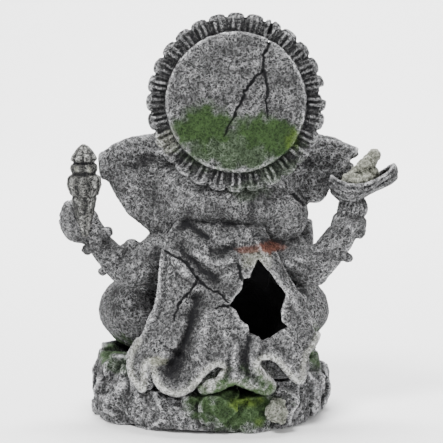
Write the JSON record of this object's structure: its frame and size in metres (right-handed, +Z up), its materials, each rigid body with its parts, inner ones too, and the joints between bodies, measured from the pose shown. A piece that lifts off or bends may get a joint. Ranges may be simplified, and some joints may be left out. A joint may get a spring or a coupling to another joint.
{
  "type": "seated stone-look figure ornament with cave",
  "caption": "Seated four-armed, elephant-headed stone-look figure with a round fluted halo, a cloak with a ragged cave mouth down its back, and a mossy rock base.",
  "frame": {"origin": "centre of the rock base's flat underside", "axes": "+Z up; the figure faces +Y, and its cloaked back with the halo and the cave mouth faces -Y; +X is the side of the raised bowl"},
  "size_m": [0.1321, 0.0951, 0.1596],
  "materials": {
    "grey_stone": "matte, dark wash in the pits, light dry-brushed edges",
    "pale_stone": "matte, pale cream wash"
  },
  "bodies": {
    "root": {"rock_base": "grey_stone", "pale_stone": "pale_stone", "torso": "grey_stone", "back_drape": "grey_stone", "leg_left": "grey_stone", "leg_right": "grey_stone", "head": "grey_stone", "trunk": "grey_stone", "tusks": "grey_stone", "crown": "grey_stone", "ear_left": "grey_stone", "ear_right": "grey_stone", "halo_disc": "grey_stone", "halo_ring": "grey_stone", "rear_arm_left": "grey_stone", "rear_arm_right": "grey_stone", "front_arm_left": "grey_stone", "front_arm_right": "grey_stone", "bangles_rear_left": "grey_stone", "bangles_rear_right": "grey_stone", "bangles_front_left": "grey_stone", "bangles_front_right": "grey_stone", "anklets": "grey_stone", "necklace": "grey_stone", "mace": "pale_stone", "bowl": "grey_stone", "sweets": "pale_stone", "held_sweet": "pale_stone"}
  },
  "joints": []
}
